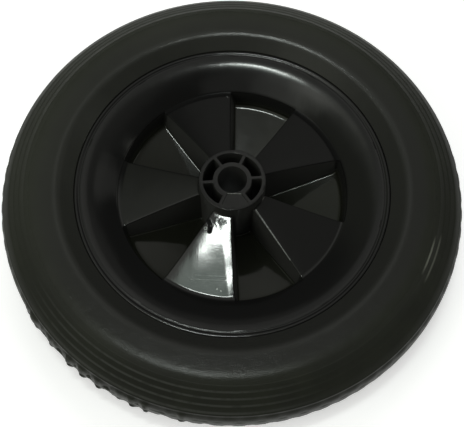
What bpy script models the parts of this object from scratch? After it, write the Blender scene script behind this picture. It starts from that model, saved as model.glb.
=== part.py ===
"""Road wheel of a portable air compressor: a moulded plastic wheel centre in a solid rubber tyre.

The wheel lies flat with its axle hole along Z, and its origin is the middle of the wheel. The
plastic centre is one moulding: a rim that flares out to a lip on each side, a corrugated web of
five sectors near the front and five near the back, joined by upright walls, and a hub of two
tubes with six ribs between them. The tyre is one piece of rubber that fills the rim's channel.
"""

import math

import bmesh
import bpy

# Lengths in metres, angles in degrees

# Tyre
TYRE_RADIUS = 0.100
TYRE_WIDTH = 0.0328
TYRE_INNER_FLANK = 0.0086
TYRE_FLANK_DROP = 0.0043
TYRE_CROWN_ROUND = 0.0033
TYRE_CROWN_DROP = 0.00085
SIDE_BULGE_POWER = 2.25
RIDGE_COUNT = 4
RIDGE_PITCH = 0.0024
RIDGE_HEIGHT = 0.0004
RIDGE_FOOT = 0.0006
RIDGE_OUTER_INSET = 0.0043
TREAD_WIDTH = 0.0132
TREAD_EDGE_DROP = 0.0016
TREAD_RIB_WIDTH = 0.0028
LUG_COUNT = 72
LUG_DEPTH = 0.0011
LUG_CORNER_DROP = 0.0006

# Rim of the wheel centre
LIP_RADIUS = 0.0677
LIP_HALF_WIDTH = 0.0123
LIP_BEAD_WIDTH = 0.0017
LIP_BEAD_HEIGHT = 0.0006
LIP_GROOVE_DEPTH = 0.0003
DISH_ARC_RADIUS = 0.045
RIM_WALL = 0.0024
BARREL_RADIUS = 0.0493
CHANNEL_EDGE_INSET = 0.0004

# Corrugated web
SECTOR_COUNT = 5
SECTOR_PHASE = 37.7
WEB_HALF_HEIGHT_HUB = 0.0122
WEB_HALF_HEIGHT_RIM = 0.0053
WEB_PLATE = 0.0025
WEB_WALL = 0.0022
WALL_TOP_ANGLE_RIM = 18.4
WALL_TOP_ANGLE_HUB = 16.8
WALL_FOOT_ANGLE_RIM = 20.3
WALL_FOOT_ANGLE_HUB = 21.0
POCKET_RIM_CUT = 0.0004
POCKET_DRAFT = 0.0007
POCKET_FILLET = 0.0012

# Hub
HUB_LENGTH = 0.0356
HUB_RADIUS = 0.0143
HUB_TUBE_WALL = 0.0018
HUB_EDGE = 0.0003
AXLE_DIAMETER = 0.0120
AXLE_CLEARANCE = 0.0004
SLEEVE_WALL = 0.0021
RIB_COUNT = 6
RIB_WIDTH = 0.0014
RIB_PHASE = 6.5
GATE_POCKET = 4
GATE_PAD_DEPTH = 0.0080
GATE_RECESS = 0.0005
GATE_CHORD_INSET = 0.0003
GATE_CHORD_ANGLE = 268.3

# Clearance between the rubber and the plastic
SEAT_GAP = 0.0003

# Colours, roughness and the clear gloss over the plastic
RUBBER_COLOUR = (0.020, 0.021, 0.019)
RUBBER_ROUGHNESS = 0.62
PLASTIC_COLOUR = (0.012, 0.012, 0.013)
PLASTIC_ROUGHNESS = 0.18
PLASTIC_COAT = 0.3

# How finely round shapes are drawn; the tyre and the wheel centre share their steps round the
# circle, so that the seat between them stays even
TURN_STEPS = LUG_COUNT
POCKET_STEPS = 6
GAP_ARC_POINTS = 7
SHARP_EDGE_ANGLE = 30.0

# How far a cutter runs past the faces it opens
CUT_PAST = 0.002
CUT_INTO_TUBE = 0.0003


def clear_scene():
    """Empty the scene of whatever it holds."""
    for thing in list(bpy.data.objects):
        bpy.data.objects.remove(thing, do_unlink=True)


def plain_material(name, colour, roughness, coat=0.0):
    """A Principled material of one colour."""
    material = bpy.data.materials.new(name)
    material.use_nodes = True
    shader = material.node_tree.nodes["Principled BSDF"]
    shader.inputs["Base Color"].default_value = (*colour, 1.0)
    shader.inputs["Roughness"].default_value = roughness
    shader.inputs["Metallic"].default_value = 0.0
    shader.inputs["Coat Weight"].default_value = coat
    material.diffuse_color = (*colour, 1.0)
    return material


def add_object(name, mesh_builder, material=None, helper=False):
    """Turn a bmesh into an object; a helper only cuts or adds to another one."""
    mesh = bpy.data.meshes.new(name)
    mesh_builder.to_mesh(mesh)
    mesh_builder.free()
    thing = bpy.data.objects.new(name, mesh)
    bpy.context.scene.collection.objects.link(thing)
    if material is not None:
        mesh.materials.append(material)
    if helper:
        thing.hide_render = True
        thing.display_type = "WIRE"
    return thing


def combine(target, tool, operation):
    """Cut a helper out of the target, or add it, with an exact Boolean."""
    change = target.modifiers.new(f"{operation.lower()} {tool.name}", "BOOLEAN")
    change.operation = operation
    change.solver = "EXACT"
    change.object = tool


def point_on_circle(radius, angle, z):
    """A point at an angle in degrees round Z."""
    turn = math.radians(angle)
    return (radius * math.cos(turn), radius * math.sin(turn), z)


def turned(profile, steps):
    """A closed profile of (radius, z) points turned round Z."""
    body = bmesh.new()
    rings = []
    for step in range(steps):
        angle = 360.0 * step / steps
        rings.append([body.verts.new(point_on_circle(r, angle, z)) for r, z in profile])
    count = len(profile)
    for step in range(steps):
        here = rings[step]
        there = rings[(step + 1) % steps]
        for i in range(count):
            j = (i + 1) % count
            body.faces.new((here[i], there[i], there[j], here[j]))
    bmesh.ops.recalc_face_normals(body, faces=body.faces)
    return body


def mirrored(upper):
    """A profile's upper half followed by its mirror image, listed the other way."""
    return upper + [(r, -z) for r, z in reversed(upper)]


# Dish and lip of the rim

def web_height(radius):
    """Height of the front sectors above the wheel's middle plane: a shallow cone."""
    share = (radius - HUB_RADIUS) / (BARREL_RADIUS - HUB_RADIUS)
    return WEB_HALF_HEIGHT_HUB + share * (WEB_HALF_HEIGHT_RIM - WEB_HALF_HEIGHT_HUB)


def dish_ends():
    """Where the flared dish starts at the web and ends at the lip's bead."""
    start = (BARREL_RADIUS, web_height(BARREL_RADIUS))
    end = (LIP_RADIUS - LIP_BEAD_WIDTH - LIP_BEAD_HEIGHT, LIP_HALF_WIDTH - LIP_BEAD_HEIGHT)
    return start, end


def dish_centre():
    """Centre of the arc that the dish follows, on the tyre's side of it."""
    (r0, z0), (r1, z1) = dish_ends()
    chord = math.hypot(r1 - r0, z1 - z0)
    depth = math.sqrt(DISH_ARC_RADIUS ** 2 - (chord / 2) ** 2)
    return (r0 + r1) / 2 + depth * (z1 - z0) / chord, (z0 + z1) / 2 - depth * (r1 - r0) / chord


def dish_height(radius, inward=0.0):
    """Height of the dish at a radius, or of the arc that lies inward of it by a wall."""
    rc, zc = dish_centre()
    return zc + math.sqrt((DISH_ARC_RADIUS - inward) ** 2 - (rc - radius) ** 2)


def spread(start, end, count):
    """Evenly spaced values from start to end, both included."""
    return [start + (end - start) * i / (count - 1) for i in range(count)]


def rim_profile():
    """Upper half of the section through web and rim, from the hub out and back to the barrel."""
    inner = HUB_RADIUS - HUB_TUBE_WALL / 2
    (start, _), (end, _) = dish_ends()
    points = [(inner, web_height(inner))]
    points += [(r, dish_height(r)) for r in spread(start, end, 5)]
    groove = LIP_HALF_WIDTH - LIP_BEAD_HEIGHT - LIP_GROOVE_DEPTH
    points.append((end + LIP_BEAD_HEIGHT, groove))
    crest_start = LIP_RADIUS - LIP_BEAD_WIDTH + LIP_BEAD_HEIGHT
    points.append((crest_start, LIP_HALF_WIDTH))
    points.append((LIP_RADIUS - LIP_BEAD_HEIGHT / 2, LIP_HALF_WIDTH))
    points.append((LIP_RADIUS, LIP_HALF_WIDTH - LIP_BEAD_HEIGHT))
    barrel_outer = BARREL_RADIUS + RIM_WALL
    back = LIP_RADIUS - CHANNEL_EDGE_INSET
    points.append((LIP_RADIUS, dish_height(back, RIM_WALL)))
    points += [(r, dish_height(r, RIM_WALL)) for r in spread(back, barrel_outer, 3)]
    return points


# Corrugated web

def wall_angle(radius, z):
    """Angle from a front sector's middle to the face of its side wall, at a radius and height."""
    out = (radius - HUB_RADIUS) / (BARREL_RADIUS - HUB_RADIUS)
    top = WALL_TOP_ANGLE_HUB + out * (WALL_TOP_ANGLE_RIM - WALL_TOP_ANGLE_HUB)
    foot = WALL_FOOT_ANGLE_HUB + out * (WALL_FOOT_ANGLE_RIM - WALL_FOOT_ANGLE_HUB)
    height = web_height(radius)
    down = (height - z) / (2 * height - WEB_PLATE)
    return top + down * (foot - top)


def pocket_half_angle(radius, z, from_front):
    """Half the width of a pocket; the back ones leave the web's wall beside the front ones."""
    if from_front:
        return 180.0 / SECTOR_COUNT - wall_angle(radius, z)
    return wall_angle(radius, -z) - math.degrees(WEB_WALL / radius)


def pocket_profile():
    """Section of a pocket that opens upwards: hub side, floor, fillet and drafted barrel wall."""
    inner = HUB_RADIUS - HUB_TUBE_WALL / 2 - CUT_INTO_TUBE
    floor_edge = BARREL_RADIUS - POCKET_DRAFT
    top_edge = BARREL_RADIUS + POCKET_RIM_CUT
    top = WEB_HALF_HEIGHT_HUB + CUT_PAST

    def floor(radius):
        return WEB_PLATE - web_height(radius)

    points = [(inner, floor(inner)), (floor_edge - POCKET_FILLET, floor(floor_edge - POCKET_FILLET))]
    foot = floor(floor_edge)
    for turn in (45.0, 90.0):
        across = math.sin(math.radians(turn)) * POCKET_FILLET
        up = (1 - math.cos(math.radians(turn))) * POCKET_FILLET
        points.append((floor_edge - POCKET_FILLET + across, foot + up))
    points += [(top_edge, web_height(BARREL_RADIUS)), (top_edge, top), (inner, top)]
    return points


def add_pocket(body, middle_angle, from_front, steps):
    """One sector-shaped pocket as a closed solid, flipped over for the back."""
    flip = 1.0 if from_front else -1.0
    columns = []
    for step in range(steps + 1):
        share = 2.0 * step / steps - 1.0
        column = []
        for r, z in pocket_profile():
            level = min(z, web_height(r))
            angle = middle_angle + share * pocket_half_angle(r, level, from_front)
            column.append(body.verts.new(point_on_circle(r, angle, z * flip)))
        columns.append(column)
    count = len(columns[0])
    for here, there in zip(columns, columns[1:]):
        for i in range(count):
            j = (i + 1) % count
            body.faces.new((here[i], there[i], there[j], here[j]))
    body.faces.new(columns[0])
    body.faces.new(list(reversed(columns[-1])))


def web_pockets():
    """The five pockets in the front and the five in the back."""
    body = bmesh.new()
    pitch = 360.0 / SECTOR_COUNT
    for index in range(SECTOR_COUNT):
        middle = SECTOR_PHASE + pitch * index
        add_pocket(body, middle + pitch / 2, True, POCKET_STEPS)
        add_pocket(body, middle, False, POCKET_STEPS)
    bmesh.ops.recalc_face_normals(body, faces=body.faces)
    return body


# Hub

def hub_profile():
    """Section of the hub before its pockets are cut: one thick tube with broken edges."""
    bore = (AXLE_DIAMETER + AXLE_CLEARANCE) / 2
    half = HUB_LENGTH / 2
    upper = [(bore, half - HUB_EDGE), (bore + HUB_EDGE, half)]
    upper += [(HUB_RADIUS - HUB_EDGE, half), (HUB_RADIUS, half - HUB_EDGE)]
    return mirrored(upper)


def prism(body, outline, low, high):
    """A closed prism on a plan outline between two heights."""
    bottom = [body.verts.new((x, y, low)) for x, y in outline]
    top = [body.verts.new((x, y, high)) for x, y in outline]
    count = len(outline)
    for i in range(count):
        j = (i + 1) % count
        body.faces.new((bottom[i], bottom[j], top[j], top[i]))
    body.faces.new(list(reversed(bottom)))
    body.faces.new(top)


def hub_gap_outline(index, start_radius):
    """Plan outline of the space between two ribs, from a radius out to the outer tube."""
    outer = HUB_RADIUS - HUB_TUBE_WALL
    first = RIB_PHASE + 360.0 * index / RIB_COUNT
    last = first + 360.0 / RIB_COUNT
    outline = []
    for radius, order in ((outer, 1), (start_radius, -1)):
        beside = math.degrees(math.asin(RIB_WIDTH / 2 / radius))
        angles = spread(first + beside, last - beside, GAP_ARC_POINTS)
        if order < 0:
            angles.reverse()
        outline += [point_on_circle(radius, angle, 0.0)[:2] for angle in angles]
    return outline


def crossing(angle_a, distance_a, angle_b, distance_b):
    """Where two lines meet in plan, each given by its normal's angle and its distance from the axis."""
    a, b = math.radians(angle_a), math.radians(angle_b)
    spin = math.sin(b - a)
    x = (distance_a * math.sin(b) - distance_b * math.sin(a)) / spin
    y = (distance_b * math.cos(a) - distance_a * math.cos(b)) / spin
    return x, y


def gate_outline():
    """Plan outline of the shallow flat in the filled pocket, which opens into the axle hole."""
    outer = HUB_RADIUS - HUB_TUBE_WALL
    first = RIB_PHASE + 360.0 * GATE_POCKET / RIB_COUNT
    last = first + 360.0 / RIB_COUNT
    beside = math.degrees(math.asin(RIB_WIDTH / 2 / outer))
    angles = spread(first + beside, last - beside, GAP_ARC_POINTS)
    outline = [point_on_circle(outer, angle, 0.0)[:2] for angle in angles]
    chord = (AXLE_DIAMETER + AXLE_CLEARANCE) / 2 - GATE_CHORD_INSET
    outline.append(crossing(last - 90.0, RIB_WIDTH / 2, GATE_CHORD_ANGLE, chord))
    outline.append(crossing(first + 90.0, RIB_WIDTH / 2, GATE_CHORD_ANGLE, chord))
    return outline


def hub_pockets():
    """Spaces between the ribs: open through the hub, except under the moulding gate."""
    body = bmesh.new()
    half = HUB_LENGTH / 2
    sleeve = (AXLE_DIAMETER + AXLE_CLEARANCE) / 2 + SLEEVE_WALL
    for index in range(RIB_COUNT):
        high = half + CUT_PAST
        if index == GATE_POCKET:
            high = half - GATE_PAD_DEPTH
        prism(body, hub_gap_outline(index, sleeve), -half - CUT_PAST, high)
    prism(body, gate_outline(), half - GATE_RECESS, half + CUT_PAST)
    bmesh.ops.recalc_face_normals(body, faces=body.faces)
    return body


# Tyre

def side_height(radius):
    """Half width of the tyre at a radius outside its widest place, without ridges."""
    widest = LIP_RADIUS + TYRE_INNER_FLANK
    share = (radius - widest) / (TYRE_RADIUS - widest)
    return TYRE_WIDTH / 2 * (1.0 - share ** 2) ** (1.0 / SIDE_BULGE_POWER)


def tread_edge():
    """Radius and half width where the side ends in the mould's edge, just under the lugs."""
    return TYRE_RADIUS - TREAD_EDGE_DROP, TREAD_WIDTH / 2


def ridge_radii():
    """Radii of the ridges from the inner one out: a smaller tyre has room for fewer."""
    outer = TYRE_RADIUS - RIDGE_OUTER_INSET
    first_ridge = outer - RIDGE_PITCH * (RIDGE_COUNT - 1)
    ridges = [first_ridge + RIDGE_PITCH * index for index in range(RIDGE_COUNT)]
    return [ridge for ridge in ridges if ridge - RIDGE_PITCH > LIP_RADIUS + TYRE_INNER_FLANK]


def side_profile():
    """The tyre's side from the seam at the lip, over its widest place and the ridges."""
    seam = LIP_RADIUS + SEAT_GAP
    widest = LIP_RADIUS + TYRE_INNER_FLANK
    half = TYRE_WIDTH / 2
    # A straight flank, then a crown that rounds over to the widest place
    points = [(seam, half - TYRE_FLANK_DROP)]
    for share in (1.0, 0.5, 0.0):
        points.append((widest - share * TYRE_CROWN_ROUND, half - share ** 2 * TYRE_CROWN_DROP))
    ridges = ridge_radii()
    plain_end = ridges[0] - RIDGE_PITCH / 2 if ridges else TYRE_RADIUS - RIDGE_OUTER_INSET
    points += [(r, side_height(r)) for r in spread(widest, plain_end, 3)[1:]]
    for ridge in ridges:
        foot = ridge - RIDGE_FOOT
        points.append((foot, side_height(foot)))
        points.append((ridge, side_height(ridge) + RIDGE_HEIGHT))
    points.append(tread_edge())
    return points


def seat_profile():
    """The tyre's inner side, which follows the rim's channel at the seat's gap."""
    barrel = BARREL_RADIUS + RIM_WALL + SEAT_GAP
    back = LIP_RADIUS - CHANNEL_EDGE_INSET
    heel = dish_height(back, RIM_WALL + SEAT_GAP)
    points = [(r, dish_height(r, RIM_WALL + SEAT_GAP)) for r in spread(barrel, back, 3)]
    points.append((LIP_RADIUS + SEAT_GAP, heel))
    return points


def tread_rows():
    """Fine rows across the tread as (radius, z, notch depth, which stations are notched)."""
    edge_radius, edge = tread_edge()
    rib = TREAD_RIB_WIDTH / 2
    shoulder = edge - TREAD_EDGE_DROP
    upper = [(TYRE_RADIUS - LUG_CORNER_DROP, shoulder, LUG_DEPTH, 1),
             (TYRE_RADIUS, rib + LUG_DEPTH, LUG_DEPTH, 1),
             (TYRE_RADIUS, rib, 0.0, 1)]
    lower = [(r, -z, notch, 0) for r, z, notch, _ in reversed(upper)]
    return upper + lower


def tyre_body():
    """The tyre as one ring, with twice as many stations across its tread as down its sides."""
    side = seat_profile() + side_profile()
    body = bmesh.new()
    fine_count = 2 * TURN_STEPS

    def ring(radius, z, steps, notch=0.0, parity=0):
        verts = []
        for step in range(steps):
            cut = notch if step % 2 == parity else 0.0
            verts.append(body.verts.new(point_on_circle(radius - cut, 360.0 * step / steps, z)))
        return verts

    upper = [ring(r, z, TURN_STEPS) for r, z in side]
    lower = [ring(r, -z, TURN_STEPS) for r, z in reversed(side)]
    fine = [ring(r, z, fine_count, notch, parity) for r, z, notch, parity in tread_rows()]

    def bridge(one, other):
        steps = len(one)
        for i in range(steps):
            j = (i + 1) % steps
            body.faces.new((one[i], one[j], other[j], other[i]))

    def bridge_double(coarse, doubled):
        for i in range(TURN_STEPS):
            j = (i + 1) % TURN_STEPS
            a, b, c = doubled[2 * i], doubled[2 * i + 1], doubled[(2 * i + 2) % fine_count]
            body.faces.new((coarse[i], b, a))
            body.faces.new((coarse[i], coarse[j], b))
            body.faces.new((coarse[j], c, b))

    for one, other in zip(upper, upper[1:]):
        bridge(one, other)
    bridge_double(upper[-1], fine[0])
    for one, other in zip(fine, fine[1:]):
        bridge(one, other)
    bridge_double(lower[0], fine[-1])
    for one, other in zip(lower, lower[1:]):
        bridge(one, other)
    bridge(lower[-1], upper[0])
    bmesh.ops.recalc_face_normals(body, faces=body.faces)
    return body


def finish_shading(thing):
    """Shade a piece smooth, with its real edges kept sharp."""
    thing.data.shade_smooth()
    thing.data.set_sharp_from_angle(angle=math.radians(SHARP_EDGE_ANGLE))


def make_tyre():
    """The solid rubber tyre."""
    rubber = plain_material("tyre_rubber", RUBBER_COLOUR, RUBBER_ROUGHNESS)
    tyre = add_object("tyre", tyre_body(), rubber)
    finish_shading(tyre)
    return tyre


def make_wheel_centre():
    """The plastic moulding: rim and web, pockets cut, hub added, hub pockets cut."""
    gloss = plain_material("wheel_plastic", PLASTIC_COLOUR, PLASTIC_ROUGHNESS, PLASTIC_COAT)
    centre = add_object("wheel_centre", turned(mirrored(rim_profile()), TURN_STEPS), gloss)
    pockets = add_object("web_pocket_cutter", web_pockets(), helper=True)
    hub = add_object("hub_tube", turned(hub_profile(), TURN_STEPS), helper=True)
    gaps = add_object("hub_pocket_cutter", hub_pockets(), helper=True)
    finish_shading(centre)
    combine(centre, pockets, "DIFFERENCE")
    combine(centre, hub, "UNION")
    combine(centre, gaps, "DIFFERENCE")
    return centre


def main():
    clear_scene()
    make_tyre()
    make_wheel_centre()


main()
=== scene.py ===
from math import asin, cos, degrees, hypot, pi, radians, sin, sqrt

import bmesh
import bpy
import numpy as np
from mathutils import Matrix, Vector, noise
from mathutils.geometry import delaunay_2d_cdt


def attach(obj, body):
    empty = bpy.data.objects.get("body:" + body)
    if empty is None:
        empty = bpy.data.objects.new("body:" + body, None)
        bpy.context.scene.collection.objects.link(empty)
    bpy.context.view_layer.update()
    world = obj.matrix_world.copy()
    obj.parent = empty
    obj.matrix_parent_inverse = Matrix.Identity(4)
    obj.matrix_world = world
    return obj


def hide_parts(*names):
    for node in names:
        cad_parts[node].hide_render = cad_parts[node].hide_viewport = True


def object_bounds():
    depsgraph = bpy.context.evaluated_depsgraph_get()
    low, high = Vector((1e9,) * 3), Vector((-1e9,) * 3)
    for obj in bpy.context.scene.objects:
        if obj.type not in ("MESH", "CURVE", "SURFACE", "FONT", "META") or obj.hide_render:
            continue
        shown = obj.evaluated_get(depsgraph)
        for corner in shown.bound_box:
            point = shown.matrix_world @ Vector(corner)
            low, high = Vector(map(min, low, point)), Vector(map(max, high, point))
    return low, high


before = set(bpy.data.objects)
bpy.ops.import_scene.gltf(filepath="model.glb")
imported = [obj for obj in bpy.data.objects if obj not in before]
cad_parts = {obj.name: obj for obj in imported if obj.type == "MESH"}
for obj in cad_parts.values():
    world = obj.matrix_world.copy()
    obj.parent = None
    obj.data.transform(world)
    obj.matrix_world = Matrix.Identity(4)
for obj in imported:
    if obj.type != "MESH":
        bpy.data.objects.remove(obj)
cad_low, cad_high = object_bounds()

# Pieces and places in materials are in millimetres, and MM turns them into metres. Lights,
# camera and floor are in metres, angles in degrees.

MM = 0.001

# Rim and web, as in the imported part
LIP_RADIUS = 67.7
LIP_HALF_WIDTH = 12.3
LIP_BEAD_WIDTH = 1.7
LIP_BEAD_HEIGHT = 0.6
LIP_BEAD_START = LIP_RADIUS - LIP_BEAD_WIDTH - LIP_BEAD_HEIGHT
DISH_ARC_RADIUS = 45.0
RIM_WALL = 2.4
BARREL_RADIUS = 49.3
CHANNEL_EDGE_INSET = 0.4
SECTOR_COUNT = 5
SECTOR_PHASE = 37.7
WEB_HALF_HEIGHT_HUB = 12.2
WEB_HALF_HEIGHT_RIM = 5.3
WEB_PLATE = 2.5
WEB_WALL = 2.2
WALL_TOP_ANGLE_RIM = 18.4
WALL_TOP_ANGLE_HUB = 16.8
WALL_FOOT_ANGLE_RIM = 20.3
WALL_FOOT_ANGLE_HUB = 21.0
POCKET_RIM_CUT = 0.4
POCKET_DRAFT = 0.7

# Hub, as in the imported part
HUB_HALF = 17.8
HUB_RADIUS = 14.3
HUB_TUBE_WALL = 1.8
BORE_RADIUS = 6.2
SLEEVE_WALL = 2.1
RIB_COUNT = 6
RIB_WIDTH = 1.4
RIB_PHASE = 6.5
GATE_POCKET = 4
GATE_PAD_DEPTH = 8.0
GATE_RECESS = 0.5
GATE_CHORD_ANGLE = 268.3
GATE_CHORD_DISTANCE = 6.45

# Tyre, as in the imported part, but with ridges, grooves and seam as fine as the photograph's
TYRE_RADIUS = 100.0
TYRE_HALF_WIDTH = 16.4
TYRE_INNER_FLANK = 8.6
TYRE_FLANK_DROP = 4.2
TYRE_CROWN_ROUND = 3.3
TYRE_CROWN_DROP = 0.85
RIDGE_COUNT = 4
RIDGE_PITCH = 2.4
RIDGE_HEIGHT = 0.13
RIDGE_FOOT = 0.55
RIDGE_OUTER_INSET = 4.3
FIRST_RIDGE = TYRE_RADIUS - RIDGE_OUTER_INSET - RIDGE_PITCH * (RIDGE_COUNT - 1)
TREAD_HALF_WIDTH = 6.6
TREAD_EDGE_DROP = 1.6
TREAD_EDGE = TYRE_RADIUS - TREAD_EDGE_DROP
TREAD_RIB_HALF = 1.4
LUG_COUNT = 72
LUG_DEPTH = 0.22
SEAT_GAP = 0.3
SEAM_GAP = 0.05

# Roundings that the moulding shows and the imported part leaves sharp
EDGE_ROUND = 0.55
FOOT_ROUND = 0.8
HUB_FOOT_ROUND = 0.8
HUB_EDGE_ROUND = 0.3
POCKET_EDGE_ROUND = 0.22
POCKET_CORNER = 0.55
GATE_CORNER = 0.3
GATE_EDGE_ROUND = 0.06
GATE_DRAFT = 0.05
BORE_EDGE_ROUND = 0.10
FLOOR_FILLET = 1.9
BARREL_EDGE_ROUND = 0.5
CREASE_ROUND = 1.15
SEAM_ROUND_DOWN = 0.25
SEAM_ROUND_OUT = 0.2
SEAM_ROUND_UP = 0.13

# The most of a pocket's outer wall that the fillet at its foot and the rounding on top may take
FILLET_SHARE = 0.45
ROUNDING_SHARE = 0.4

# Share of a pocket's depth over which the rim turns from the plateau's form to the pocket's
POCKET_BLEND = 0.3

# Slopes: the dish from the web out to the lip, and the tyre's side outside its widest place
DISH_SLOPES = ((49.3, 29.0), (55.0, 27.6), (59.0, 22.6), (61.3, 16.5), (63.0, 10.0), (65.4, 5.5))
SIDE_SLOPES = (
    (76.3, 0.0), (82.2, 0.8), (83.5, 3.5), (85.4, 8.5), (87.0, 20.0), (88.8, 31.0), (91.0, 34.0),
    (95.0, 36.0), (97.0, 43.0), (98.4, 50.0),
)
SLOPE_STATIONS = 200

# Section of the lip's bead: how far out from its start, and how far below the rim's half width
LIP_BEAD_SECTION = (
    (-0.05, 0.70), (0.15, 0.71), (0.35, 0.70), (0.55, 0.66), (0.70, 0.59), (0.84, 0.51),
    (1.00, 0.43), (1.20, 0.36), (1.42, 0.32), (1.66, 0.32), (1.90, 0.35), (2.10, 0.42),
    (2.24, 0.54), (2.30, 0.75),
)

# Where a ridge gets points: shares of its foot before its top, and distances past the top
RIDGE_STOPS_BEFORE = (0.75, 0.5, 0.25)
RIDGE_STOPS_PAST = (0.0, 0.3, 0.7, 1.1, 1.6)

# Tread from its edge to its middle, each point with its share of groove. The mould's edge is out
# from the tread's edge and up from the side, the shoulder out and in from the half width, the
# middle rib in from the radius and out from the rib's half width.
MOULD_EDGE_SECTION = ((-0.02, 0.16, 0.0), (0.10, -0.05, 0.0))
SHOULDER_SECTION = (
    (0.22, 0.28, 0.1), (0.40, 0.52, 0.3), (0.66, 0.88, 0.6), (0.98, 1.40, 1.0),
    (1.22, 2.00, 1.0), (1.42, 2.80, 1.0), (1.52, 3.60, 1.0),
)
RIB_SECTION = ((0.02, 0.75, 1.0), (0.0, 0.40, 0.55), (0.0, 0.10, 0.0))

# A groove between lugs: half its width and the width of its side, as shares of a lug's pitch
GROOVE_HALF = 0.26
GROOVE_SIDE = 0.12

# Nubs and nicks along one stretch of the tread: angle, half width, height. The last two numbers
# say how soon they reach their full height in front and behind.
TREAD_NUBS = (
    (212.4, 1.0, 0.45), (215.6, 2.2, 0.85), (219.9, 1.0, -0.50), (222.2, 0.9, 0.55),
    (225.6, 1.4, -0.75), (228.9, 1.2, 1.05), (231.0, 0.6, -0.60), (232.9, 1.2, 0.95),
    (235.2, 0.9, -0.75), (237.6, 1.0, 0.85), (240.2, 1.3, -0.85), (243.4, 0.9, 0.35),
    (246.8, 1.1, 0.80), (248.6, 0.5, -0.30), (250.2, 1.0, 0.95), (254.4, 1.3, -0.40),
    (259.0, 1.0, 0.60), (264.5, 1.2, -0.25),
)
NUB_STEEPNESS = 1.35
NUBS_FRONT = 1.2
NUBS_BACK = 0.3

# Flash at the gate: its ends in plan, how far outside their line it stands, half its thickness,
# and the share of its length that each end tapers over
FLASH_ENDS = ((-4.72, -6.13), (4.20, -6.36))
FLASH_OFFSET = 0.24
FLASH_HALF = 0.10
FLASH_TAPER = 0.04
FLASH_END_DROP = 0.3
FLASH_TIP = 0.06
FLASH_BELOW_FACE = 0.02
FLASH_ROOT = 0.05
FLASH_STEPS = 44

# How finely the forms are divided
WEB_STEPS = (7, 4, 5, 5, 7)
HUB_SIDE_STEPS = 5
HUB_FOOT_STEPS = 4
WEB_STATIONS = 28
DISH_STATIONS = 18
CHANNEL_STATIONS = 8
SEAT_STATIONS = 7
CORNER_STEPS = 4
TUBE_ARC_POINTS = 13
SLEEVE_ARC_POINTS = 9
CHORD_STEPS = 8
BORE_POINTS = 72
STATIONS_PER_LUG = 10
SIDE_STATIONS_PER_LUG = 5

# Sharpest angle between faces that is still shaded as one surface
RUBBER_SMOOTH_ANGLE = 50.0
PLASTIC_SMOOTH_ANGLE = 40.0

# Rubber's colours: beside the rim, on the crown and outside it, then what is mixed over them
RUBBER_FLANK = (0.0158, 0.0161, 0.0144)
RUBBER_CROWN = (0.0196, 0.0199, 0.0180)
RUBBER_OUTSIDE = (0.0190, 0.0199, 0.0162)
RUBBER_BLOOM = (0.0250, 0.0272, 0.0200)
# Paler in patches toward one side and outside the crown
RUBBER_PALE_SIDE = (0.0330, 0.0350, 0.0280)
RUBBER_SPECK = (0.024, 0.025, 0.021)
# Painted highlight on the ridges' crests in one stretch
RUBBER_RIDGE_HIGHLIGHT = (0.046, 0.048, 0.042)
# Painted glint on the ridges' crests in a short stretch
RUBBER_RIDGE_GLINT = (0.130, 0.134, 0.112)

# Painted highlights on the ridges' crests in two stretches: radius of one crest, half the width of
# its top and foot, and the middle of each stretch and of the tyre's paler side
HIGHLIGHT_CREST_RADIUS = 90.4
CREST_TOP = 0.15
CREST_FOOT = 0.55
RIDGE_HIGHLIGHT_ANGLE = 250.0
RIDGE_GLINT_ANGLE = 338.5
PALE_SIDE_ANGLE = 125.0

# Plastic's colours: polished faces; sunk floors and steep walls, painted lighter as painted light
# in the pockets' shade, the floors also olive; scratches; and where it tore
PLASTIC_FACE = (0.0052, 0.0052, 0.0051)
PLASTIC_FLOOR_PAINTED_LIGHT = (0.0092, 0.0097, 0.0068)
PLASTIC_WALL_PAINTED_LIGHT = (0.0280, 0.0284, 0.0262)
PLASTIC_SCRATCH = (0.60, 0.63, 0.60)
TORN_DARK = (0.08, 0.083, 0.076)
TORN_PALE = (0.30, 0.31, 0.28)

# Torn pit beside the hub, as place, radius and stretch, and the curl of plastic next to it
PIT_SPOTS = (
    ((-9.05, -19.00, 10.90), 2.1, (1.45, 0.72, 0.5)),
    ((-9.60, -16.90, 11.20), 1.2, (1.0, 0.7, 0.5)),
    ((-9.30, -20.90, 10.50), 1.1, (0.8, 0.9, 0.5)),
)
CURL_PLACE = (-11.00, -19.50, 10.60)
CURL_OUTER = 0.85
CURL_INNER = 0.55

# Scratches as start, end, width and strength, and specks as place and size
SCRATCHES = (
    ((-17.03, -40.77, 6.31), (0.49, -41.57, 6.82), 0.6, 0.14),
    ((-14.97, -39.13, 6.76), (0.47, -39.92, 7.15), 0.6, 0.10),
    ((10.23, -11.37, 12.0), (24.71, -31.92, 7.06), 0.8, 0.28),
    ((-2.93, 47.64, 5.69), (-2.53, 46.84, 5.79), 0.7, 0.10),
)
SPECKS = (((-5.69, -44.93, 6.09), 0.45), ((-4.02, -45.74, 5.97), 0.45))
SPECK_STRENGTH = 0.45

# Faces that lean a little: a strip along one sector's edge, more at the rim, and hub swirls
WARP_LEAN = 0.019
WARP_STRIP = ((-2.2, -23.0, 10.5), (0.80, -49.0, 5.4), 5.0)
WARP_AT_RIM, WARP_AT_HUB = (-48.0, 1.70), (-25.0, 0.48)
SWIRL_PLACE = (-3.6, -16.6, 12.0)
SWIRL_RADIUS = 6.2

# Floor's colour, and the light that it adds to come out white, from under the tyre outwards. The
# added light is left out beneath the wheel, a painted shade.
FLOOR_TONE = (0.82, 0.82, 0.82)
FLOOR_GLOW = 0.52
FLOOR_GLOW_START, FLOOR_GLOW_FULL = 75.0, 105.0
FLOOR_SIZE = 12.0

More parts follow.
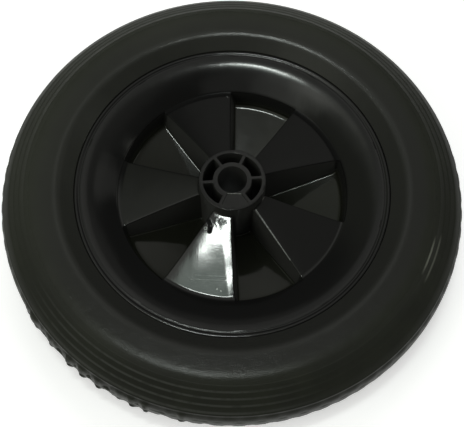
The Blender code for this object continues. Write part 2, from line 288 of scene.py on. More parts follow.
# Room that the wheel mirrors: its walls, and soft patches of light as lean to the right, lean to
# the back, angles from the middle where they start to fade and end, and colour
ROOM_WALLS = (0.045, 0.046, 0.043)
ROOM_GLOWS = (
    (-12, 7, 0, 33, (0.25, 0.26, 0.24)),
    (-17, 6, 0, 14, (0.32, 0.32, 0.29)),
    (18, 13, 0, 30, (0.12, 0.12, 0.11)),
    (-19, -20, 0, 15, (0.38, 0.39, 0.36)),
    (2, -30, 0, 18, (0.16, 0.16, 0.15)),
    (-20, -3, 0, 10, (0.55, 0.55, 0.51)),
    (8, 30, 0, 12, (0.28, 0.28, 0.26)),
    (-4, 34, 0, 14, (0.22, 0.22, 0.21)),
    (0, 48, 0, 16, (0.13, 0.13, 0.12)),
    (22, 42, 0, 13, (0.14, 0.14, 0.13)),
    (-25, -9, 2, 10, (0.50, 0.52, 0.46)),
    (48, 4, 1, 6, (0.60, 0.62, 0.55)),
    (74, 2, 2, 9, (3.0, 3.0, 2.7)),
    (-45, -42, 6, 38, (0.50, 0.52, 0.42)),
    (40, 25, 0, 11, (0.28, 0.28, 0.26)),
    (-40, 20, 6, 36, (0.10, 0.11, 0.08)),
)

# Broad lamps as name, direction and radiance, with their distance and size
SOFT_LAMPS = (
    ("soft_left", (-0.7, -0.35, 0.62), 1.6),
    ("soft_right", (0.7, -0.25, 0.62), 1.1),
    ("soft_back", (0.0, 0.75, 0.66), 1.9),
)
SOFT_DISTANCE = 1.6
SOFT_SIZE = (1.2, 1.2)

# The photograph's camera, worked out from the circles of the wheel at 464 by 427
CAMERA_PLACE = (0.0, -0.1889, 0.40843)
CAMERA_FORWARD = (0.0002, 0.4053, -0.9142)
CAMERA_RIGHT = (0.9999, 0.0132, 0.0061)
CAMERA_SENSOR = 36.0
CAMERA_LENS = 79.587


def add_object(name, data):
    """A new object in the scene."""
    thing = bpy.data.objects.new(name, data)
    bpy.context.scene.collection.objects.link(thing)
    return thing


def make_mesh(name, points, faces):
    """A smoothly shaded closed piece from points in millimetres, its faces looking outwards."""
    mesh = bpy.data.meshes.new(name)
    mesh.from_pydata((np.asarray(points) * MM).tolist(), [], faces)
    mesh.validate()
    mesh.shade_smooth()
    turned = bmesh.new()
    turned.from_mesh(mesh)
    bmesh.ops.recalc_face_normals(turned, faces=turned.faces)
    turned.to_mesh(mesh)
    turned.free()
    return add_object(name, mesh)


def eased(share):
    """A share from 0 to 1 that starts and ends gently."""
    return share * share * (3 - 2 * share)


def shares(steps):
    """Even steps on the way from 0 to 1, without the first one."""
    return [step / steps for step in range(1, steps + 1)]


def bezier(start, corner, end, steps):
    """Points of a rounded corner, without its first one."""
    start, corner, end = (np.asarray(p, float) for p in (start, corner, end))
    return [(1 - t) ** 2 * start + 2 * t * (1 - t) * corner + t ** 2 * end for t in shares(steps)]


def line(start, end, steps):
    """Evenly spaced points from start to end, without the first one."""
    start, end = np.asarray(start, float), np.asarray(end, float)
    return [start + (end - start) * step / steps for step in range(1, steps + 1)]


def stepped(start, target, length):
    """The point at a length from start on the way to a target."""
    return start + length * (target - start) / np.linalg.norm(target - start)


def rounding(radius, steps):
    """How far out and how far down a rounded edge goes, from its face to its wall."""
    turns = [radians(90.0 * step / steps) for step in range(steps + 1)]
    return [(radius * (1 - sin(t)), radius * (1 - cos(t))) for t in turns]


def polar(radius, angle):
    """A point in plan."""
    turn = radians(angle)
    return np.array([radius * cos(turn), radius * sin(turn)])


def arc(radius, first, last, count):
    """Points in plan on a circle about the axis, both ends included."""
    return [polar(radius, angle) for angle in np.linspace(first, last, count)]


def web_height(radius):
    """Height of the raised sectors above the middle plane: a shallow cone."""
    share = (radius - HUB_RADIUS) / (BARREL_RADIUS - HUB_RADIUS)
    return WEB_HALF_HEIGHT_HUB + share * (WEB_HALF_HEIGHT_RIM - WEB_HALF_HEIGHT_HUB)


def dish_centre():
    """Centre of the arc that the channel's wall follows."""
    r0, z0 = BARREL_RADIUS, web_height(BARREL_RADIUS)
    r1, z1 = LIP_BEAD_START, LIP_HALF_WIDTH - LIP_BEAD_HEIGHT
    chord = hypot(r1 - r0, z1 - z0)
    depth = sqrt(DISH_ARC_RADIUS ** 2 - (chord / 2) ** 2)
    return (r0 + r1) / 2 + depth * (z1 - z0) / chord, (z0 + z1) / 2 - depth * (r1 - r0) / chord


DISH_R, DISH_Z = dish_centre()


def channel_height(radius, inward):
    """Height of the dish's arc, moved inward by the rim's wall and any gap behind it."""
    return DISH_Z + sqrt((DISH_ARC_RADIUS - inward) ** 2 - (DISH_R - radius) ** 2)


def summed(slopes):
    """Radii in fine steps and the height gained up to each, from slopes at some radii."""
    places, angles = zip(*slopes)
    radii = np.linspace(places[0], places[-1], SLOPE_STATIONS)
    rise = np.tan(np.radians(np.interp(radii, places, angles)))
    steps = (rise[1:] + rise[:-1]) / 2 * np.diff(radii)
    return radii, np.concatenate([[0.0], np.cumsum(steps)])


DISH_RADII, DISH_RISE = summed(DISH_SLOPES)
SIDE_RADII, SIDE_FALL = summed(SIDE_SLOPES)


def dish_height(radius):
    """Height of the dish's face."""
    return web_height(BARREL_RADIUS) + float(np.interp(radius, DISH_RADII, DISH_RISE))


def wall_angle(radius, z):
    """Angle from a raised sector's middle to the face of its side wall."""
    out = (radius - HUB_RADIUS) / (BARREL_RADIUS - HUB_RADIUS)
    top = WALL_TOP_ANGLE_HUB + out * (WALL_TOP_ANGLE_RIM - WALL_TOP_ANGLE_HUB)
    foot = WALL_FOOT_ANGLE_HUB + out * (WALL_FOOT_ANGLE_RIM - WALL_FOOT_ANGLE_HUB)
    height = web_height(radius)
    return top + (height - z) / (2 * height - WEB_PLATE) * (foot - top)


def wall_edges(radius, front):
    """Angles of a side wall's top and foot, from the middle of the sector that it bounds."""
    height = web_height(radius)
    if front:
        return wall_angle(radius, height), wall_angle(radius, WEB_PLATE - height)
    half_pitch = 180.0 / SECTOR_COUNT
    wall = degrees(WEB_WALL / radius)
    top = half_pitch - wall_angle(radius, -height) + wall
    foot = half_pitch - wall_angle(radius, height - WEB_PLATE) + wall
    return top, foot


def half_sector(radius, front):
    """Angles and heights from the middle of a raised sector to the middle of a sunk one."""
    top_steps, edge_steps, wall_steps, foot_steps, floor_steps = WEB_STEPS
    top_angle, foot_angle = wall_edges(radius, front)
    high, low = web_height(radius), WEB_PLATE - web_height(radius)
    top = np.array([radius * radians(top_angle), high])
    foot = np.array([radius * radians(foot_angle), low])
    down = (foot - top) / np.linalg.norm(foot - top)
    across = np.array([1.0, 0.0])
    points = [np.array([0.0, high])]
    points += line(points[-1], top - EDGE_ROUND * across, top_steps)
    points += bezier(points[-1], top, top + EDGE_ROUND * down, edge_steps)
    points += line(points[-1], foot - FOOT_ROUND * down, wall_steps)
    points += bezier(points[-1], foot, foot + FOOT_ROUND * across, foot_steps)
    points += line(points[-1], (radius * pi / SECTOR_COUNT, low), floor_steps)
    points = np.array(points)
    return np.degrees(points[:, 0] / radius), points[:, 1]


def ring_at(radius, front):
    """Angles and heights all round at one radius, starting in the middle of a raised sector."""
    angle, height = half_sector(radius, front)
    pitch = 360.0 / SECTOR_COUNT
    start = SECTOR_PHASE if front else SECTOR_PHASE + pitch / 2
    angles, heights = [], []
    for index in range(SECTOR_COUNT):
        middle = start + pitch * index
        angles += [middle + angle, middle + pitch - angle[-2:0:-1]]
        heights += [height, height[-2:0:-1]]
    return np.concatenate(angles), np.concatenate(heights)


def rim_columns(start, inner, start_height, inner_height):
    """Sections from the web's outer part up to the dish, and the radius where they end.

    A sunk sector has a pocket's wall, a raised one a crease, and a side wall a form between them.
    """
    high = web_height(inner)
    depth = (high - inner_height) / (2 * high - WEB_PLATE)
    weight = eased(np.clip(depth / POCKET_BLEND, 0, 1))
    edge = np.array([BARREL_RADIUS + POCKET_RIM_CUT, dish_height(BARREL_RADIUS + POCKET_RIM_CUT)])
    after = edge[0] + BARREL_EDGE_ROUND
    last = np.array([after, dish_height(after)])
    crease = np.array([BARREL_RADIUS, web_height(BARREL_RADIUS)])
    crease_steps, dish_steps = 5, 2
    columns = []
    for z_start, z_inner, share in zip(start_height, inner_height, weight):
        foot = np.array([inner, z_inner])
        length = np.linalg.norm(edge - foot)
        fillet_end = stepped(foot, edge, min(FLOOR_FILLET, FILLET_SHARE * length))
        edge_start = stepped(edge, foot, min(BARREL_EDGE_ROUND, ROUNDING_SHARE * length))
        sunk = bezier((start, z_start), foot, fillet_end, 6)
        sunk += line(sunk[-1], edge_start, 4)
        sunk += bezier(sunk[-1], edge, last, 4)
        flat_end = stepped(crease, np.array([start, z_start]), CREASE_ROUND)
        dish_start = stepped(crease, last, CREASE_ROUND)
        plateau = line((start, z_start), flat_end, len(sunk) - crease_steps - dish_steps)
        plateau += bezier(flat_end, crease, dish_start, crease_steps)
        plateau += line(dish_start, last, dish_steps)
        columns.append([share * a + (1 - share) * b for a, b in zip(sunk, plateau)])
    return np.array(columns), after


def web_rows(front):
    """Rows of (radius, angle, height) from the edge of the hub's face out to the lip."""
    rows = []

    def add(radius, angle, height):
        size = len(hub_angle)
        rows.append((np.broadcast_to(radius, size), angle, np.broadcast_to(height, size)))

    hub_angle, hub_height = ring_at(HUB_RADIUS, front)
    foot_angle, foot_height = ring_at(HUB_RADIUS + HUB_FOOT_ROUND, front)
    for over, down in rounding(HUB_EDGE_ROUND, 3):
        add(HUB_RADIUS - over, hub_angle, HUB_HALF - down)
    top = HUB_HALF - HUB_EDGE_ROUND
    for t in shares(HUB_SIDE_STEPS):
        add(HUB_RADIUS, hub_angle, top + t * (hub_height + HUB_FOOT_ROUND - top))
    for t in shares(HUB_FOOT_STEPS):
        up = (1 - t) ** 2 * HUB_FOOT_ROUND
        height = hub_height + t * t * (foot_height - hub_height) + up
        angle = hub_angle + t * t * (foot_angle - hub_angle)
        add(HUB_RADIUS + t * t * HUB_FOOT_ROUND, angle, height)

    inner = BARREL_RADIUS - POCKET_DRAFT
    start = inner - FLOOR_FILLET
    for radius in np.linspace(HUB_RADIUS + HUB_FOOT_ROUND, start, WEB_STATIONS)[1:]:
        angle, height = ring_at(radius, front)
        add(radius, angle, height)

    start_angle, start_height = ring_at(start, front)
    inner_angle, inner_height = ring_at(inner, front)
    columns, after = rim_columns(start, inner, start_height, inner_height)
    for index in range(columns.shape[1]):
        radius = columns[:, index, 0]
        part = np.clip((radius - start) / FLOOR_FILLET, 0, 1)
        add(radius, start_angle + part * (inner_angle - start_angle), columns[:, index, 1])

    for radius in np.linspace(after, LIP_BEAD_START - 0.3, DISH_STATIONS)[1:]:
        add(radius, inner_angle, dish_height(radius))
    for out, down in LIP_BEAD_SECTION:
        add(LIP_BEAD_START + out, inner_angle, LIP_HALF_WIDTH - down)
    return rows


def channel_rows(front_angle, back_angle):
    """Rows of (radius, angle, height) round the channel that the tyre sits in."""
    back = LIP_RADIUS - CHANNEL_EDGE_INSET
    outer = BARREL_RADIUS + RIM_WALL
    upper = [(LIP_RADIUS, channel_height(back, RIM_WALL))]
    upper += [(r, channel_height(r, RIM_WALL)) for r in np.linspace(back, outer, CHANNEL_STATIONS)]
    profile = upper + [(r, -z) for r, z in reversed(upper)]
    shift = (back_angle - front_angle + 180.0) % 360.0 - 180.0
    rows = []
    for index, (radius, height) in enumerate(profile):
        share = index / (len(profile) - 1)
        angle = front_angle + share * shift
        rows.append((np.full(len(angle), radius), angle, np.full(len(angle), height)))
    return rows


def cut_corner(before, corner, after, length=POCKET_CORNER):
    """A rounded corner between two straight or nearly straight sides."""
    a, b = stepped(corner, before, length), stepped(corner, after, length)
    return [a] + bezier(a, corner, b, CORNER_STEPS)


def pocket_sides(index, grow):
    """Radius of the tube's inside, half a rib and the middles of the ribs beside a hub pocket."""
    outer = HUB_RADIUS - HUB_TUBE_WALL + grow
    first = RIB_PHASE + 360.0 * index / RIB_COUNT
    return outer, RIB_WIDTH / 2 - grow, first, first + 360.0 / RIB_COUNT


def hub_gap_loop(index, grow):
    """Plan outline of the space between two ribs, grown by a rounding."""
    outer, half, first, last = pocket_sides(index, grow)
    inner = BORE_RADIUS + SLEEVE_WALL - grow
    side_out = degrees(asin(half / outer))
    side_in = degrees(asin(half / inner))
    cut_out = degrees(POCKET_CORNER / outer)
    cut_in = degrees(POCKET_CORNER / inner)
    corners = [polar(outer, first + side_out), polar(outer, last - side_out),
               polar(inner, last - side_in), polar(inner, first + side_in)]
    past_corner = polar(inner, last - side_in - 2 * cut_in)
    first_in, last_in = first + side_in + cut_in, last - side_in - cut_in
    loop = arc(outer, first + side_out + cut_out, last - side_out - cut_out, TUBE_ARC_POINTS)[1:-1]
    loop += cut_corner(loop[-1], corners[1], corners[2])
    loop += cut_corner(corners[1], corners[2], past_corner)
    loop += arc(inner, last_in, first_in, SLEEVE_ARC_POINTS)[1:-1]
    loop += cut_corner(loop[-1], corners[3], corners[0])
    loop += cut_corner(corners[3], corners[0], loop[0])
    return loop


def crossing(angle_a, distance_a, angle_b, distance_b):
    """Where two lines meet in plan, each given by its normal's angle and its distance."""
    a, b = radians(angle_a), radians(angle_b)
    spin = sin(b - a)
    x = (distance_a * sin(b) - distance_b * sin(a)) / spin
    y = (distance_b * cos(a) - distance_a * cos(b)) / spin
    return np.array([x, y])


def gate_loop(grow):
    """Plan outline of the shallow flat over the filled pocket."""
    outer, half, first, last = pocket_sides(GATE_POCKET, grow)
    side = degrees(asin(half / outer))
    cut = degrees(POCKET_CORNER / outer)
    chord = GATE_CHORD_DISTANCE - grow
    corners = [polar(outer, first + side), polar(outer, last - side),
               crossing(last - 90.0, half, GATE_CHORD_ANGLE, chord),
               crossing(first + 90.0, half, GATE_CHORD_ANGLE, chord)]
    loop = arc(outer, first + side + cut, last - side - cut, TUBE_ARC_POINTS)[1:-1]
    loop += cut_corner(loop[-1], corners[1], corners[2])
    loop += cut_corner(corners[1], corners[2], corners[3], GATE_CORNER)
    loop += line(corners[2], corners[3], CHORD_STEPS)[1:-1]
    loop += cut_corner(corners[2], corners[3], corners[0], GATE_CORNER)
    loop += cut_corner(corners[3], corners[0], loop[0])
    return loop


def inside(point, outline):
    """Whether a point in plan lies in a closed outline."""
    x, y = point
    x0, y0 = outline[:, 0], outline[:, 1]
    x1, y1 = np.roll(x0, -1), np.roll(y0, -1)
    spans = (y0 > y) != (y1 > y)
    across = x0[spans] + (y - y0[spans]) * (x1[spans] - x0[spans]) / (y1[spans] - y0[spans])
    return np.count_nonzero(across > x) % 2 == 1


class Builder:
    """Points and faces of one closed mesh, in millimetres."""

    def __init__(self):
        self.points = []
        self.faces = []

    def ring(self, points):
        """Add a ring of points and return their numbers."""
        start = len(self.points)
        self.points.extend(tuple(map(float, p)) for p in points)
        return list(range(start, len(self.points)))

    def turned_ring(self, radius, angle, height):
        """Add a ring of points from radii, angles in radians and heights."""
        return self.ring(np.stack([radius * np.cos(angle), radius * np.sin(angle), height], 1))

    def plan_rings(self, loop_at, levels):
        """Add one outline at several levels, each given as how much it is grown and its height."""
        return [self.ring([(*p, height) for p in loop_at(grow)]) for grow, height in levels]

    def bridge(self, one, other):
        """Quads between two closed rings of the same length."""
        for i in range(len(one)):
            j = (i + 1) % len(one)
            self.faces.append((one[i], one[j], other[j], other[i]))

    def bridge_all(self, rings, swapped=False):
        """Quads between each ring and the next."""
        for one, other in zip(rings, rings[1:]):
            self.bridge(*((other, one) if swapped else (one, other)))

    def bridge_double(self, coarse, fine):
        """Triangles between a closed ring and one with twice its points."""
        for i in range(len(coarse)):
            j = (i + 1) % len(coarse)
            a, b, c = fine[2 * i], fine[2 * i + 1], fine[(2 * i + 2) % len(fine)]
            self.faces += [(coarse[i], a, b), (coarse[i], b, coarse[j]), (coarse[j], b, c)]

    def fill(self, outer, holes, up):
        """Triangles of a flat face with holes, facing up or down."""
        numbers = list(outer)
        edges = [(i, (i + 1) % len(outer)) for i in range(len(outer))]
        for hole in holes:
            base = len(numbers)
            numbers += list(hole)
            edges += [(base + i, base + (i + 1) % len(hole)) for i in range(len(hole))]
        flat = [Vector(self.points[n][:2]) for n in numbers]
        outlines = [np.array([self.points[n][:2] for n in hole]) for hole in holes]
        rim = np.array([self.points[n][:2] for n in outer])
        _, _, triangles, originals, _, _ = delaunay_2d_cdt(flat, edges, [], 1, 1e-7)
        for triangle in triangles:
            corners = [numbers[originals[v][0]] for v in triangle]
            middle = sum((np.array(self.points[n][:2]) for n in corners), np.zeros(2)) / 3
            if not inside(middle, rim) or any(inside(middle, outline) for outline in outlines):
                continue
            a, b, c = (Vector(self.points[n][:2]) for n in corners)
            turn = (b - a).cross(c - a)
            if (turn > 0) != up:
                corners.reverse()
            self.faces.append(tuple(corners))


def build_wheel_centre():
    """The whole moulding as one closed mesh: web, rim and hub."""
    build = Builder()
    front = web_rows(True)
    back = web_rows(False)
    half_turn = len(front[0][0]) // SECTOR_COUNT // 2
    back = [tuple(np.roll(values, half_turn) for values in row) for row in back]
    channel = channel_rows(front[-1][1], back[-1][1])
    rows = front + channel + [(r, angle, -z) for r, angle, z in reversed(back)]
    rings = [build.turned_ring(r, np.radians(angle), z) for r, angle, z in rows]
    build.bridge_all(rings)
    front_holes, back_holes = [], []

    def cut_through(loop_at, edge):
        """Walls of a hole from the front face to the back one."""
        levels = [(grow, HUB_HALF - down) for grow, down in edge]
        levels += [(0.0, h) for h in (HUB_HALF / 2, 0.0, -HUB_HALF / 2)]
        levels += [(grow, -HUB_HALF + down) for grow, down in reversed(edge)]
        walls = build.plan_rings(loop_at, levels)
        build.bridge_all(walls, swapped=True)
        front_holes.append(walls[0])
        back_holes.append(walls[-1])

    edge = rounding(POCKET_EDGE_ROUND, 4)
    for index in range(RIB_COUNT):
        if index != GATE_POCKET:
            cut_through(lambda grow, k=index: hub_gap_loop(k, grow), edge)
    cut_through(lambda grow: arc(BORE_RADIUS + grow, 0.0, 360.0, BORE_POINTS + 1)[:-1],
                rounding(BORE_EDGE_ROUND, 3))

    levels = [(grow, HUB_HALF - down) for grow, down in rounding(GATE_EDGE_ROUND, 2)]
    gate = build.plan_rings(gate_loop, levels + [(-GATE_DRAFT, HUB_HALF - GATE_RECESS)])
    build.bridge_all(gate, swapped=True)
    build.fill(gate[-1], [], True)
    front_holes.append(gate[0])

    levels = [(grow, -HUB_HALF + down) for grow, down in edge]
    levels += [(0.0, -4.0), (0.0, HUB_HALF - GATE_PAD_DEPTH)]
    blind = build.plan_rings(lambda grow: hub_gap_loop(GATE_POCKET, grow), levels)
    build.bridge_all(blind)
    build.fill(blind[-1], [], False)
    back_holes.append(blind[0])

    build.fill(rings[0], front_holes, True)
    build.fill(rings[-1], back_holes, False)
    return make_mesh("wheel_centre_moulding", build.points, build.faces)


def side_height(radius):
    """Half width of the tyre outside its widest place, without ridges."""
    return TYRE_HALF_WIDTH - float(np.interp(radius, SIDE_RADII, SIDE_FALL))


def ridge_height(radius):
    """Height of the ridges over the plain side: a short rise and a long fall."""
    for index in range(RIDGE_COUNT):
        ridge = FIRST_RIDGE + RIDGE_PITCH * index
        if ridge - RIDGE_FOOT <= radius <= ridge:
            return RIDGE_HEIGHT * eased((radius - ridge + RIDGE_FOOT) / RIDGE_FOOT)
        fall = RIDGE_PITCH - RIDGE_FOOT
        if ridge < radius < ridge + fall:
            return RIDGE_HEIGHT * (1 - (radius - ridge) / fall)
    return 0.0


def tyre_side():
    """Half section of the tyre from its seat to the mould's edge beside the tread."""
    barrel = BARREL_RADIUS + RIM_WALL + SEAT_GAP
    back = LIP_RADIUS - CHANNEL_EDGE_INSET
    seam = LIP_RADIUS + SEAM_GAP
    widest = LIP_RADIUS + TYRE_INNER_FLANK
    points = [(r, channel_height(r, RIM_WALL + SEAT_GAP))
              for r in np.linspace(barrel, back, SEAT_STATIONS)]
    points.append((seam, channel_height(back, RIM_WALL + SEAT_GAP)))
    corner = TYRE_HALF_WIDTH - TYRE_FLANK_DROP
    points += bezier((seam, corner - SEAM_ROUND_DOWN), (seam, corner),
                     (seam + SEAM_ROUND_OUT, corner + SEAM_ROUND_UP), 3)
    points += line(points[-1], (widest - TYRE_CROWN_ROUND, TYRE_HALF_WIDTH - TYRE_CROWN_DROP), 6)
    points += [(widest - share * TYRE_CROWN_ROUND, TYRE_HALF_WIDTH - share ** 2 * TYRE_CROWN_DROP)
               for share in np.linspace(1.0, 0.0, 9)[1:]]
    points += [(r, side_height(r)) for r in np.linspace(widest, FIRST_RIDGE - RIDGE_FOOT, 12)[1:]]
    for index in range(RIDGE_COUNT):
        ridge = FIRST_RIDGE + RIDGE_PITCH * index
        stops = [ridge - share * RIDGE_FOOT for share in RIDGE_STOPS_BEFORE]
        stops += [ridge + past for past in RIDGE_STOPS_PAST]
        points += [(r, side_height(r) + ridge_height(r)) for r in stops]
    points += [(r, side_height(r)) for r in np.linspace(ridge + 1.9, TREAD_EDGE - 0.2, 4)]
    return points


def tyre_tread():
    """Half section across the tread: radius, height and how deep the grooves are there."""
    corner = side_height(TREAD_EDGE)
    points = [(TREAD_EDGE + out, corner + up, share) for out, up, share in MOULD_EDGE_SECTION]
    points += [(TREAD_EDGE + out, TREAD_HALF_WIDTH - inward, share)
               for out, inward, share in SHOULDER_SECTION]
    points += [(TYRE_RADIUS - drop, TREAD_RIB_HALF + past, share)
               for drop, past, share in RIB_SECTION]
    return points + [(TYRE_RADIUS, TREAD_RIB_HALF / 2, 0.0)]


def nub_height(angle):
    """How far the tread stands out or is nicked, in a ragged row."""
    height = np.zeros(len(angle))
    for centre, half, size in TREAD_NUBS:
        share = NUB_STEEPNESS - NUB_STEEPNESS * np.abs(angle - centre) / half
        height += size * eased(np.clip(share, 0.0, 1.0))
    return height


def build_tyre():
    """The solid tyre as one closed ring, with its grooves between the lugs."""
    build = Builder()
    side, tread = tyre_side(), tyre_tread()

    def ring(radius, height, per_lug, share=0.0, offset=0.0, ragged=0.0):
        count = LUG_COUNT * per_lug
        phase = (np.arange(count) / per_lug - offset + 0.5) % 1.0 - 0.5
        groove = eased(np.clip((GROOVE_HALF - np.abs(phase)) / GROOVE_SIDE, 0.0, 1.0))
        out = radius - min(LUG_DEPTH * share, max(0.0, radius - TREAD_EDGE)) * groove
        turn = np.arange(count) * (2 * pi / count)
        out = out + ragged * nub_height(np.degrees(turn))
        return build.turned_ring(out, turn, np.full(count, height))

    coarse, fine = SIDE_STATIONS_PER_LUG, STATIONS_PER_LUG
    upper = [ring(r, z, coarse) for r, z in side]
    middle = [ring(r, z, fine, share, 0.5, min(1.0, NUBS_FRONT * share)) for r, z, share in tread]
    middle += [ring(r, -z, fine, share, 0.0, min(1.0, NUBS_BACK + share))
               for r, z, share in reversed(tread)]
    lower = [ring(r, -z, coarse) for r, z in reversed(side)]
    for rings in (upper, middle, lower):
        build.bridge_all(rings, swapped=True)
    build.bridge(upper[0], lower[-1])
    build.bridge_double(upper[-1], middle[0])
    build.bridge_double(lower[0], middle[-1])
    return make_mesh("tyre_ring", build.points, build.faces)


def build_gate_flash():
    """The thin ragged edge of plastic that the gate left beside the axle hole."""
    normal = polar(1.0, GATE_CHORD_ANGLE)
    first, last = (np.array(end) for end in FLASH_ENDS)
    low = HUB_HALF - GATE_RECESS - FLASH_ROOT
    build = Builder()
    rings = []
    for step in range(FLASH_STEPS + 1):
        t = step / FLASH_STEPS
        waver = noise.noise(Vector((t * 9.0, 1.7, 0.3)))
        jag = noise.noise(Vector((t * 31.0, 5.1, 2.2)))
        centre = first + t * (last - first) + normal * (FLASH_OFFSET + 0.05 * waver)
        half = FLASH_HALF + 0.035 * jag
        ends = min(1.0, t / FLASH_TAPER, (1 - t) / FLASH_TAPER)
        top = HUB_HALF - FLASH_BELOW_FACE - (1 - ends) * FLASH_END_DROP
        top -= 0.10 * abs(waver) + 0.05 * abs(jag)
        section = [(-half, low), (-half, top - FLASH_TIP), (-half * 0.4, top), (half * 0.4, top),
                   (half, top - FLASH_TIP), (half, low)]
        rings.append(build.ring([(*(centre + normal * a), z) for a, z in section]))
    build.bridge_all(rings)
    build.faces.append(tuple(rings[0]))
    build.faces.append(tuple(reversed(rings[-1])))
    return make_mesh("gate_flash", build.points, build.faces)


def soften(thing, angle):
    """Keep real edges sharp and let large faces lead the shading."""
    thing.data.set_sharp_from_angle(angle=radians(angle))
    change = thing.modifiers.new("flat faces first", "WEIGHTED_NORMAL")
    change.keep_sharp = True
    change.weight = 80


class Nodes:
    """Short ways to add nodes to a material or a world.

    A value is a constant or another node's output. Radii, places and widths are in millimetres.
    """

    def __init__(self, owner, coordinates="Object"):
        owner.use_nodes = True
        self.tree = owner.node_tree
        self.coordinates = self.new("TexCoord").outputs
        self.place = self.coordinates[coordinates]
        self.axis_distance = None

    def new(self, kind):
        return self.tree.nodes.new("ShaderNode" + kind)

    def put(self, socket, value):
        """Set an input to a constant or link an output to it."""
        if isinstance(value, bpy.types.NodeSocket):
            self.tree.links.new(value, socket)
        elif socket.type == "RGBA":
            socket.default_value = (*value, 1.0)
        else:
            socket.default_value = value

    def feed(self, node, inputs):
        """Set some inputs of a node and return its outputs."""
        for socket, value in inputs.items():
            self.put(node.inputs[socket], value)
        return node.outputs

    def noise(self, scale, detail=4.0, rough=0.55, distortion=0.0, place=None):
        """Soft random shares, finer with a larger scale."""
        node = self.new("TexNoise")
        return self.feed(node, {"Vector": place or self.place, "Scale": scale, "Detail": detail,
                                "Roughness": rough, "Distortion": distortion})["Fac"]

    def span(self, value, low, high, to_low=0.0, to_high=1.0, kind="SMOOTHSTEP"):
        """A value's way from low to high, as a way from to_low to to_high."""
        node = self.new("MapRange")
        node.interpolation_type = kind
        return self.feed(node, {"Value": value, "From Min": low, "From Max": high,
                                "To Min": to_low, "To Max": to_high})["Result"]

    def math(self, operation, *values, clamp=False):
        node = self.new("Math")
        node.operation = operation
        node.use_clamp = clamp
        return self.feed(node, dict(enumerate(values)))[0]

    def chain(self, operation, first, *others):
        """One operation on two values, then on the result and the next one, and so on."""
        for other in others:
            first = self.math(operation, first, other)
        return first

    def product(self, *values):
        return self.chain("MULTIPLY", *values)

    def total(self, *values):
        return self.chain("ADD", *values)

    def vector(self, operation, *values, scale=None):
        node = self.new("VectorMath")
        node.operation = operation
        if scale is not None:
            self.put(node.inputs["Scale"], scale)
        outputs = self.feed(node, dict(enumerate(values)))
        return outputs["Value" if operation in ("DOT_PRODUCT", "LENGTH") else "Vector"]

    def mix(self, share, one, other):
        """One colour where the share is 0, the other where it is 1."""
        node = self.new("Mix")
        node.data_type = "RGBA"
        return self.feed(node, {"Factor": share, 6: one, 7: other})[2]

    def bump(self, height, strength, distance, normal=None):
        node = self.new("Bump")
        if normal is not None:
            self.put(node.inputs["Normal"], normal)
        inputs = {"Strength": strength, "Distance": distance, "Height": height}
        return self.feed(node, inputs)["Normal"]

    def part(self, vector, axis):
        """How far a vector goes along X, Y or Z."""
        split = self.new("SeparateXYZ")
        self.put(split.inputs[0], vector)
        return split.outputs[axis]

    def by_radius(self, low, high, to_low=0.0, to_high=1.0):
        """A share that changes between two distances from the axle's axis."""
        if self.axis_distance is None:
            x, y = self.part(self.place, "X"), self.part(self.place, "Y")
            square = self.math("MULTIPLY_ADD", y, y, self.math("MULTIPLY", x, x))
            self.axis_distance = self.math("SQRT", square)
        return self.span(self.axis_distance, low * MM, high * MM, to_low, to_high)

    def facing(self):
        """How far the surface faces along the axle: 1 or -1 for flat faces, 0 for upright walls."""
        return self.part(self.coordinates["Normal"], "Z")

    def stretched(self, factors):
        """The place scaled along its axes."""
        node = self.new("Mapping")
        return self.feed(node, {"Vector": self.place, "Scale": factors})["Vector"]

    def spot(self, centre, radius, squeeze=(1.0, 1.0, 1.0)):
        """1 near a point, 0 beyond the radius, with a soft edge."""
        offset = self.vector("SUBTRACT", self.place, Vector(centre) * MM)
        far = self.vector("LENGTH", self.vector("MULTIPLY", offset, squeeze))
        return self.span(far, radius * MM * 0.55, radius * MM, 1.0, 0.0)

    def stroke(self, start, end, width):
        """1 along a straight line between two points, 0 beyond half its width, with soft sides."""
        start, end = Vector(start) * MM, Vector(end) * MM
        along = end - start
        offset = self.vector("SUBTRACT", self.place, start)
        share = self.vector("DOT_PRODUCT", offset, along / along.length_squared)
        share = self.math("MAXIMUM", self.math("MINIMUM", share, 1.0), 0.0)
        gap = self.vector("SUBTRACT", offset, self.vector("SCALE", along, scale=share))
        far = self.vector("LENGTH", gap)
        return self.span(far, width * MM * 0.2, width * MM * 0.5, 1.0, 0.0)

    def toward_angle(self, angle):
        """1 in one direction in plan, falling to -1 in the opposite one."""
        direction = self.vector("NORMALIZE", self.place)
        return self.vector("DOT_PRODUCT", direction, (*polar(1.0, angle), 0.0))


def new_material(name):
    """The nodes of a new material, the material and its shader."""
    material = bpy.data.materials.new(name)
    nodes = Nodes(material)
    return nodes, material, nodes.tree.nodes["Principled BSDF"]


